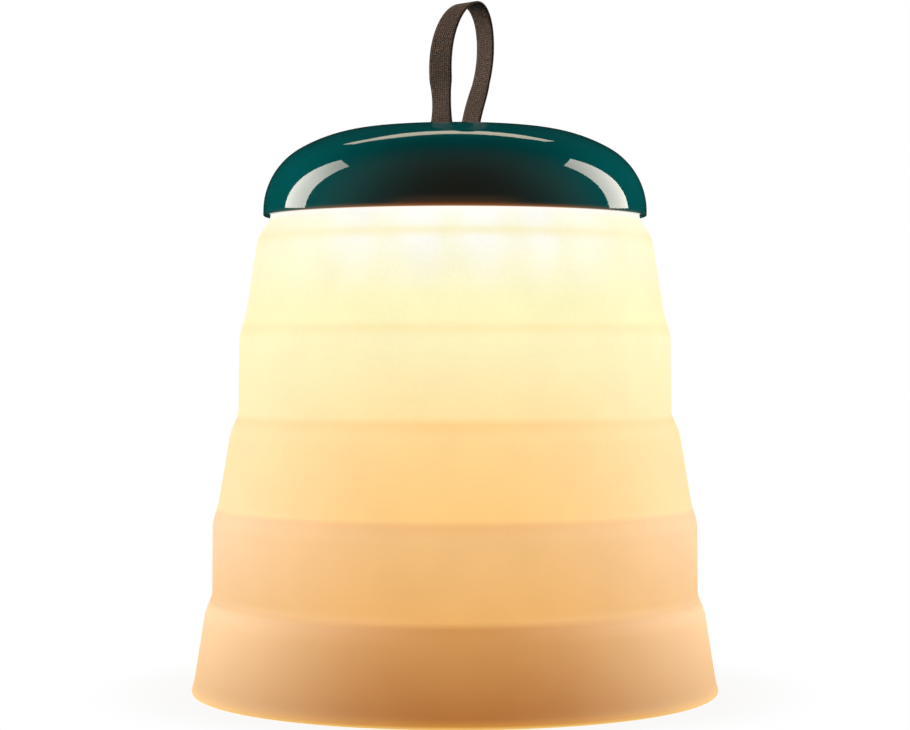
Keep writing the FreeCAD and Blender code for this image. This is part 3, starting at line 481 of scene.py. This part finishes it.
# The radii of the shoulder and the crown follow from the width and the height that the side leaves them
across = cap_radius - CAP_SIDE_ROUND * (1 - math.cos(SIDE_TURN))
upward = crown - waist - CAP_SIDE_ROUND * math.sin(SIDE_TURN)
cos_gain = math.cos(SIDE_TURN) - math.cos(SHOULDER_TURN)
sin_gain = math.sin(SHOULDER_TURN) - math.sin(SIDE_TURN)
sin_rest = 1 - math.sin(SHOULDER_TURN)
shared = cos_gain * sin_rest - math.cos(SHOULDER_TURN) * sin_gain
shoulder_round = (across * sin_rest - math.cos(SHOULDER_TURN) * upward) / shared
crown_round = (cos_gain * upward - across * sin_gain) / shared

side_centre = Vector((cap_radius - CAP_SIDE_ROUND, 0, waist))
toward_side = Vector((math.cos(SIDE_TURN), 0, math.sin(SIDE_TURN)))
toward_crown = Vector((math.cos(SHOULDER_TURN), 0, math.sin(SHOULDER_TURN)))
shoulder_centre = side_centre + toward_side * (CAP_SIDE_ROUND - shoulder_round)
crown_centre = shoulder_centre + toward_crown * (shoulder_round - crown_round)

bm = bmesh.new()
rim_point = bm.verts.new((cap_radius, 0, rim))
waist_point = bmesh.ops.extrude_vert_indiv(bm, verts=[rim_point])["verts"][0]
waist_point.co.z = waist
# Centre, turn and steps of each arc, from the side to the crown
arcs = [
    (side_centre, SIDE_TURN, 28),
    (shoulder_centre, SHOULDER_TURN - SIDE_TURN, 20),
    (crown_centre, math.pi / 2 - SHOULDER_TURN, 10),
]
end = waist_point
for centre, turn, steps in arcs:
    end = bmesh.ops.spin(bm, geom=[end], cent=centre, axis=(0, -1, 0), dvec=(0, 0, 0), angle=turn,
                         steps=steps)["geom_last"][0]
bmesh.ops.spin(bm, geom=bm.verts[:] + bm.edges[:], cent=(0, 0, 0), axis=(0, 0, 1), dvec=(0, 0, 0),
               angle=2 * math.pi, steps=DOME_STEPS, use_merge=True)
bmesh.ops.remove_doubles(bm, verts=bm.verts[:], dist=MERGE_DISTANCE)
bmesh.ops.recalc_face_normals(bm, faces=bm.faces[:])
bmesh.ops.solidify(bm, geom=bm.faces[:], thickness=CAP_WALL)


def on_outer_rim(vert):
    """Whether a point lies on the outer edge of the cap's rim."""
    return abs(vert.co.z - rim) < NEAR and vert.co.xy.length > cap_radius - NEAR


rim_edges = [edge for edge in bm.edges if all(on_outer_rim(vert) for vert in edge.verts)]
bmesh.ops.bevel(bm, geom=rim_edges, offset=CAP_EDGE_ROUND, affect="EDGES", segments=EDGE_STEPS, profile=0.5,
                material=-1)
cap_dome = new_piece("cap_dome", bm)

# The two slots are cut through the crown
SLOT_PLACES = (-6.6 * MM, 7.5 * MM)
SLOT_WIDTH = 2.0 * MM
SLOT_LENGTH = 10.8 * MM
SLOT_DEPTH = 6 * CAP_WALL
# The ribbon is a little twisted, and its slots with it: they turn with their distance from a straight place
TWIST = 0.013 / MM
STRAIGHT_AT = 6.0 * MM

bm = bmesh.new()
for side in SLOT_PLACES:
    turn = Matrix.Rotation(-math.atan(TWIST * (side - STRAIGHT_AT)), 4, "Z")
    shape = Matrix.Diagonal((SLOT_WIDTH, SLOT_LENGTH, SLOT_DEPTH, 1))
    bmesh.ops.create_cube(bm, size=1, matrix=Matrix.Translation((side, 0, crown)) @ turn @ shape)
cutter = new_piece("slot_cutter", bm)
cutting = cap_dome.modifiers.new("slots", "BOOLEAN")
cutting.object = cutter
bpy.context.view_layer.update()
evaluated = cap_dome.evaluated_get(bpy.context.evaluated_depsgraph_get())
cut_mesh = bpy.data.meshes.new_from_object(evaluated)
cap_dome.modifiers.remove(cutting)
cap_dome.data = cut_mesh
bpy.data.objects.remove(cutter)

# Faint flow marks in the colour, the soft ripple of a polished mould, and smudges from handling.
# The eye gets a deep colour under sharp reflections, which waver a little.
FLOW_LENGTH = 40 * MM
RIPPLE_LENGTH = 9 * MM
SMUDGE_SIZE = 25 * MM
RIM_GLOW = 2.4 * MM

abs_teal, shader, place = new_material("polished teal ABS")
flow = add(abs_teal, "TexNoise", {"Vector": place, "Scale": 1 / FLOW_LENGTH, "Detail": 3})
shade = add(abs_teal, "ValToRGB", {"Fac": flow.outputs["Fac"]},
            [(0.35, linear("#00767c")), (0.65, linear("#007d84"))])
ripple = add(abs_teal, "TexNoise", {"Vector": place, "Scale": 1 / RIPPLE_LENGTH, "Detail": 1})
relief = add(abs_teal, "Bump", {"Height": ripple.outputs["Fac"], "Strength": 0.05, "Distance": 0.05 * MM})
smudge = add(abs_teal, "TexNoise", {"Vector": place, "Scale": 1 / SMUDGE_SIZE, "Detail": 4})
polish = add(abs_teal, "MapRange", {"Value": smudge.outputs["Fac"], **NOISE_RANGE,
                                    "To Min": 0.02, "To Max": 0.05})
shader.inputs["IOR"].default_value = 1.54
shader.inputs["Specular IOR Level"].default_value = 0.4
# The lamp below shines amber through the thin edge of the rim, most on its two bright faces
axes = add(abs_teal, "SeparateXYZ", {0: place})
leak = add(abs_teal, "MapRange", {"Value": axes.outputs["Z"], "From Min": rim, "From Max": rim + RIM_GLOW,
                                  "To Min": 0.8, "To Max": 0.0})
leak_fade = add(abs_teal, "Math", {0: leak.outputs[0], 1: 4}, operation="POWER")
leak_face = add(abs_teal, "MapRange", {"Value": wave_round(abs_teal, place, 2, -2 * BRIGHT_FACE),
                                       "From Min": -1.1, "To Min": 0.0}, interpolation_type="SMOOTHSTEP")
leak_shown = add(abs_teal, "Math", {0: leak_fade.outputs[0], 1: leak_face.outputs[0]}, operation="MULTIPLY")
shader.inputs["Emission Color"].default_value = linear("#ff9c52")
connect(abs_teal, leak_shown.outputs[0], shader, "Emission Strength")
connect(abs_teal, shade.outputs["Color"], shader, "Base Color")
connect(abs_teal, polish.outputs[0], shader, "Roughness")
connect(abs_teal, relief.outputs["Normal"], shader, "Normal")
cap_dome.data.materials.append(abs_teal)
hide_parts("cap_shell")
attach(cap_dome, "head")


# Ribbon loop: woven polyester grosgrain, 10 mm wide, passed down through one slot of the crown,
# under it and up through the other, its ends sewn together. It stands by its own stiffness.

RIBBON_WIDTH = 10.0 * MM
RIBBON_THICK = 0.8 * MM
SELVEDGE_ROUND = 0.3 * MM
# The twist goes out of the legs at this height above the slots, and comes back as far above it
TWIST_GAP = 8.0 * MM
TWIST_LOSS = 1.15
# Middle line seen from the front, in millimetres: across, and up from the crown
RIBBON_ROUTE = [
    (0, -3.2), (5.6, -3.2), (7.3, -2.4), (7.5, 0), (8.7, 5), (11.4, 12), (14.2, 20), (15.4, 29), (14.4, 39),
    (10.3, 45.5), (4.2, 45.1), (-1.8, 40.2), (-6.2, 31), (-7.5, 21), (-6.4, 10), (-6.5, 0), (-6.8, -2.4),
    (-5.6, -3.2),
]

curve = bpy.data.curves.new("ribbon_route", "CURVE")
curve.dimensions = "3D"
curve.resolution_u = 8
spline = curve.splines.new("NURBS")
spline.points.add(len(RIBBON_ROUTE) - 1)
for point, (along, up) in zip(spline.points, RIBBON_ROUTE):
    point.co = (along * MM, 0, crown + up * MM, 1)
spline.order_u = 4
spline.use_cyclic_u = True
route_object = bpy.data.objects.new("ribbon_route", curve)
bpy.context.scene.collection.objects.link(route_object)
bpy.context.view_layer.update()
evaluated = route_object.evaluated_get(bpy.context.evaluated_depsgraph_get())
route_mesh = bpy.data.meshes.new_from_object(evaluated)
bpy.data.objects.remove(route_object)

bm = bmesh.new()
bm.from_mesh(route_mesh)
bpy.data.meshes.remove(route_mesh)
bm.verts.ensure_lookup_table()
# Each point carries its length along the ribbon, for the weave
lengths = [0.0]
for before, after in zip(bm.verts[:], bm.verts[1:]):
    lengths.append(lengths[-1] + (after.co - before.co).length)
ribbon_length = lengths[-1] + (bm.verts[0].co - bm.verts[-1].co).length
along_layer = bm.verts.layers.float.new("along")
for vert, length in zip(bm.verts, lengths):
    vert[along_layer] = length
bmesh.ops.translate(bm, verts=bm.verts[:], vec=(0, -RIBBON_WIDTH / 2, 0))
far_side = bmesh.ops.extrude_edge_only(bm, edges=bm.edges[:])["geom"]
far_points = [item for item in far_side if isinstance(item, bmesh.types.BMVert)]
bmesh.ops.translate(bm, verts=far_points, vec=(0, RIBBON_WIDTH, 0))
for vert in bm.verts:
    loss = max(1 - ((vert.co.z - crown) / TWIST_GAP - 1) ** 2, 0)
    vert.co.x += (1 - TWIST_LOSS * loss) * TWIST * (vert.co.x - STRAIGHT_AT) * vert.co.y
cross_edges = [
    edge for edge in bm.edges
    if abs(edge.verts[0].co.y - edge.verts[1].co.y) > RIBBON_WIDTH / 2
]
bmesh.ops.subdivide_edges(bm, edges=cross_edges, cuts=5)
weave_map = bm.loops.layers.uv.new("weave")
for face in bm.faces:
    reach = [loop.vert[along_layer] for loop in face.loops]
    closing = max(reach) - min(reach) > ribbon_length / 2
    for loop in face.loops:
        along = loop.vert[along_layer]
        if closing and along < ribbon_length / 2:
            along += ribbon_length
        loop[weave_map].uv = (loop.vert.co.y, along)
ribbon = new_piece("ribbon_loop", bm)
thickness = ribbon.modifiers.new("thickness", "SOLIDIFY")
thickness.thickness = RIBBON_THICK
thickness.offset = 0
edge_round = ribbon.modifiers.new("selvedge", "BEVEL")
edge_round.width = SELVEDGE_ROUND
edge_round.segments = 3
edge_round.limit_method = "ANGLE"

# Grosgrain: weft ribs across the ribbon and bundles of warp yarn along it, in browns that vary with the
# weave, and a darker band at both edges: the tight selvedge, with painted shade where the edges curve away.
# The weave is drawn a little coarse, so that it shows.
RIB_PITCH = 0.85 * MM
YARN_PITCH = 0.95 * MM
SLUB_SIZE = 1.2 * MM
# Distances from the edge between which the selvedge and its painted edge shade darken
SELVEDGE_START = 0.7 * MM
SELVEDGE_FULL = 0.2 * MM

grosgrain = bpy.data.materials.new("woven polyester grosgrain")
grosgrain.use_nodes = True
shader = grosgrain.node_tree.nodes["Principled BSDF"]
weave = add(grosgrain, "UVMap", {}, uv_map="weave")
axes = add(grosgrain, "SeparateXYZ", {0: weave.outputs["UV"]})
rib_turn = add(grosgrain, "Math", {0: axes.outputs["Y"], 1: 2 * math.pi / RIB_PITCH},
               operation="MULTIPLY")
yarn_turn = add(grosgrain, "Math", {0: axes.outputs["X"], 1: 2 * math.pi / YARN_PITCH},
                operation="MULTIPLY")
rib = add(grosgrain, "Math", {0: rib_turn.outputs[0]}, operation="SINE")
yarn = add(grosgrain, "Math", {0: yarn_turn.outputs[0]}, operation="SINE")
weave_height = add(grosgrain, "Math", {0: rib.outputs[0], 1: 0.7, 2: yarn.outputs[0]},
                   operation="MULTIPLY_ADD")
slub = add(grosgrain, "TexNoise", {"Vector": weave.outputs["UV"], "Scale": 1 / SLUB_SIZE, "Detail": 3})
fleck = add(grosgrain, "Math", {0: weave_height.outputs[0], 1: 0.22, 2: slub.outputs["Fac"]},
            operation="MULTIPLY_ADD")
tint = add(grosgrain, "ValToRGB", {"Fac": fleck.outputs[0]},
           [(0.2, linear("#2b1f18")), (0.5, linear("#574135")), (0.8, linear("#836858"))])
off_middle = add(grosgrain, "Math", {0: axes.outputs["X"]}, operation="ABSOLUTE")
selvedge = add(grosgrain, "MapRange", {"Value": off_middle.outputs[0],
                                       "From Min": RIBBON_WIDTH / 2 - SELVEDGE_START,
                                       "From Max": RIBBON_WIDTH / 2 - SELVEDGE_FULL},
               interpolation_type="SMOOTHSTEP")
# The dark edge band is partly the selvedge's own colour and partly painted shade of the curving edges
tint_with_edge_shade = add(grosgrain, "Mix", {"Factor": selvedge.outputs[0], "A": tint.outputs["Color"],
                               "B": linear("#30241d")}, data_type="RGBA")
relief = add(grosgrain, "Bump", {"Height": weave_height.outputs[0], "Strength": 0.25,
                                 "Distance": 0.12 * MM})
shader.inputs["Roughness"].default_value = 0.8
shader.inputs["Sheen Weight"].default_value = 0.1
shader.inputs["Sheen Roughness"].default_value = 0.4
connect(grosgrain, tint_with_edge_shade.outputs["Result"], shader, "Base Color")
connect(grosgrain, relief.outputs["Normal"], shader, "Normal")
ribbon.data.materials.append(grosgrain)
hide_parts("strap_root", "strap_loop")
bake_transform(ribbon)


# Stage: pale paper floor and white surroundings, both seen as white, and the lantern's soft shadow.
# Diffuse light finds them dark, so that they don't wash out the glow of the shade.

FLOOR_RADIUS = 3.0
# Distances from the axis between which the paper with the shadow gives way to plain white
SHADOW_FULL = 0.09
SHADOW_END = 0.14


def white_for_eye(owner, plain, white):
    """Mixes a plain shader with one that camera, glossy and transmission rays see."""
    path = add(owner, "LightPath", {})
    eye = add(owner, "Math", {0: path.outputs["Is Camera Ray"], 1: path.outputs["Is Glossy Ray"]},
              operation="ADD", use_clamp=True)
    either = add(owner, "Math", {0: eye.outputs[0], 1: path.outputs["Is Transmission Ray"]},
                 operation="ADD", use_clamp=True)
    return add(owner, "MixShader", {"Fac": either.outputs[0], 1: plain, 2: white}).outputs[0]


world = bpy.data.worlds.new("studio")
bpy.context.scene.world = world
world.use_nodes = True
dim = world.node_tree.nodes["Background"]
dim.inputs["Color"].default_value = linear("#f2f2f2")
dim.inputs["Strength"].default_value = 0.01
white = add(world, "Background", {"Color": linear("#ffffff")})
surround = white_for_eye(world, dim.outputs[0], white.outputs[0])
connect(world, surround, world.node_tree.nodes["World Output"], "Surface")

bm = bmesh.new()
bmesh.ops.create_circle(bm, cap_ends=True, segments=96, radius=FLOOR_RADIUS)
floor = new_piece("floor", bm)
paper, shader, place = new_material("white paper floor")
shader.inputs["Base Color"].default_value = linear("#e6e6e6")
shader.inputs["Roughness"].default_value = 0.9
reach = add(paper, "VectorMath", {0: place}, operation="LENGTH")
whiteness = add(paper, "MapRange", {"Value": reach.outputs["Value"], "From Min": SHADOW_FULL,
                                    "From Max": SHADOW_END, "To Min": 0.9}, interpolation_type="SMOOTHSTEP")
white = add(paper, "Emission", {"Color": linear("#ffffff")})
shadowed = add(paper, "MixShader", {"Fac": whiteness.outputs[0], 1: shader.outputs[0], 2: white.outputs[0]})
unlit = add(paper, "BsdfDiffuse", {"Color": linear("#4a4846")})
from_above = white_for_eye(paper, unlit.outputs[0], shadowed.outputs[0])
# Seen from below the paper is clear, so that the underside of the lantern shows
side = add(paper, "NewGeometry", {})
clear = add(paper, "BsdfTransparent", {})
one_sided = add(paper, "MixShader", {"Fac": side.outputs["Backfacing"], 1: from_above, 2: clear.outputs[0]})
connect(paper, one_sided.outputs[0], paper.node_tree.nodes["Material Output"], "Surface")
floor.data.materials.append(paper)


# Dark room: a dome of black felt round the white set, which only reflections see.
# The polished cap mirrors it between the lights. In front it carries a painted warm glow for the lantern's
# own light, which shows only as a painted reflection in the cap.

CAMERA_TURN = math.radians(42)
ROOM_RADIUS = 2.2
ROOM_FLOOR = 0.4 * MM
# Where the felt's painted warm glow comes up, as distances toward the camera, and how bright it is at both
# ends
WARM_START = -0.6
WARM_FULL = 1.0
FELT_DARK = 0.005
FELT_WARM = 0.28
# Low in front, a painted amber glow stands for a lit paper backdrop and shows as a painted reflection low
# on the cap: heights between which it fades, and distances where it comes up
SWEEP_FULL_HEIGHT = 0.1
SWEEP_END_HEIGHT = 0.75
SWEEP_START = 1.5
SWEEP_FULL = 2.15
SWEEP_GLOW = 1.3

toward_camera = Vector((-math.sin(CAMERA_TURN), -math.cos(CAMERA_TURN), 0))

bm = bmesh.new()
bmesh.ops.create_uvsphere(bm, u_segments=64, v_segments=32, radius=ROOM_RADIUS)
cut = bmesh.ops.bisect_plane(bm, geom=bm.verts[:] + bm.edges[:] + bm.faces[:], plane_co=(0, 0, ROOM_FLOOR),
                             plane_no=(0, 0, -1), clear_outer=True)
cut_edges = [item for item in cut["geom_cut"] if isinstance(item, bmesh.types.BMEdge)]
bmesh.ops.edgeloop_fill(bm, edges=cut_edges)
dark_room = new_piece("dark_room", bm)
felt, shader, place = new_material("dark felt, painted warm glow in front")
toward = add(felt, "VectorMath", {0: place, 1: toward_camera}, operation="DOT_PRODUCT")
# Painted warm glow of the felt, strongest toward the camera
painted_warm_glow = add(felt, "MapRange", {"Value": toward.outputs["Value"], "From Min": WARM_START,
                                "From Max": WARM_FULL, "To Min": FELT_DARK, "To Max": FELT_WARM},
             interpolation_type="SMOOTHSTEP")
axes = add(felt, "SeparateXYZ", {0: place})
low = add(felt, "MapRange", {"Value": axes.outputs["Z"], "From Min": SWEEP_FULL_HEIGHT,
                             "From Max": SWEEP_END_HEIGHT, "To Min": 1.0, "To Max": 0.0},
          interpolation_type="SMOOTHSTEP")
in_front = add(felt, "MapRange", {"Value": toward.outputs["Value"], "From Min": SWEEP_START,
                                  "From Max": SWEEP_FULL}, interpolation_type="SMOOTHSTEP")
# Painted amber glow, low in front, which the cap shows as a painted reflection
painted_amber_glow = add(felt, "Math", {0: low.outputs[0], 1: in_front.outputs[0]}, operation="MULTIPLY")
tint = add(felt, "Mix", {"Factor": painted_amber_glow.outputs[0], "A": linear("#ffe6c4"), "B": linear("#ff9250")},
           data_type="RGBA")
strength = add(felt, "Math", {0: painted_amber_glow.outputs[0], 1: SWEEP_GLOW, 2: painted_warm_glow.outputs[0]},
               operation="MULTIPLY_ADD")
shader.inputs["Base Color"].default_value = linear("#0a0a0a")
shader.inputs["Roughness"].default_value = 1
connect(felt, tint.outputs["Result"], shader, "Emission Color")
connect(felt, strength.outputs[0], shader, "Emission Strength")
dark_room.data.materials.append(felt)
dark_room.visible_camera = False
dark_room.visible_diffuse = False
dark_room.visible_shadow = False
dark_room.visible_transmission = False


# Lights: a tall softbox at each side, a little behind the lantern, and a narrow strip behind its top.
# The cloth of a softbox is brightest low down, near its lamp, and fades towards its upper end.

FADE_START = 0.3


def softbox(name, turn, distance, level, aim, roll, wide, high, watts, code, fade):
    """An area light, turned from the camera's side and rolled by degrees, that faces a point of the axis.
    Its upper end emits only a share of what its lower end does."""
    lamp = bpy.data.lights.new(name, "AREA")
    lamp.shape = "RECTANGLE"
    lamp.size = wide
    lamp.size_y = high
    lamp.energy = watts
    lamp.color = linear(code)[:3]
    lamp.use_nodes = True
    cloth = add(lamp, "NewGeometry", {})
    across_up = add(lamp, "SeparateXYZ", {0: cloth.outputs["Parametric"]})
    share = add(lamp, "MapRange", {"Value": across_up.outputs["Y"], "From Min": FADE_START, "From Max": 1.0,
                                   "To Min": 1.0, "To Max": fade}, interpolation_type="SMOOTHSTEP")
    connect(lamp, share.outputs[0], lamp.node_tree.nodes["Emission"], "Strength")
    holder = bpy.data.objects.new(name, lamp)
    bpy.context.scene.collection.objects.link(holder)
    heading = math.atan2(toward_camera.y, toward_camera.x) + math.radians(turn)
    holder.location = (distance * math.cos(heading), distance * math.sin(heading), level)
    facing = (Vector((0, 0, aim)) - holder.location).to_track_quat("-Z", "Y")
    holder.rotation_euler = (facing @ Quaternion((0, 0, 1), math.radians(roll))).to_euler()


softbox("left_softbox", turn=-102, distance=0.9, level=0.67, aim=0.67, roll=-9, wide=0.34, high=1.0,
        watts=9.85, code="#fff6ea", fade=0.57)
softbox("right_softbox", turn=106, distance=0.9, level=0.67, aim=0.67, roll=9, wide=0.34, high=1.0,
        watts=9.3, code="#fff6ea", fade=0.72)
softbox("back_strip", turn=-177, distance=0.9, level=1.20, aim=crown, roll=0, wide=0.92, high=0.15,
        watts=1.25, code="#ffeed4", fade=1.0)


# Camera: long lens, level with the middle of the shade, turned so that the ribbon is seen at a slant.
# Its focal length is given in pixels of the photo's width.

CAMERA_DISTANCE = 879 * MM
CAMERA_HEIGHT = 124.6 * MM
CAMERA_TILT = math.radians(0.43)
PHOTO_WIDTH = 910
FOCAL_PIXELS = 2420
SENSOR_WIDTH = 36

lens = bpy.data.cameras.new("camera")
lens.sensor_width = SENSOR_WIDTH
lens.lens = FOCAL_PIXELS * SENSOR_WIDTH / PHOTO_WIDTH
camera = bpy.data.objects.new("camera", lens)
bpy.context.scene.collection.objects.link(camera)
camera.location = toward_camera * CAMERA_DISTANCE + Vector((0, 0, CAMERA_HEIGHT))
camera.rotation_euler = (math.pi / 2 - CAMERA_TILT, 0, -CAMERA_TURN)
bpy.context.scene.camera = camera
bpy.context.scene.view_settings.view_transform = "Standard"
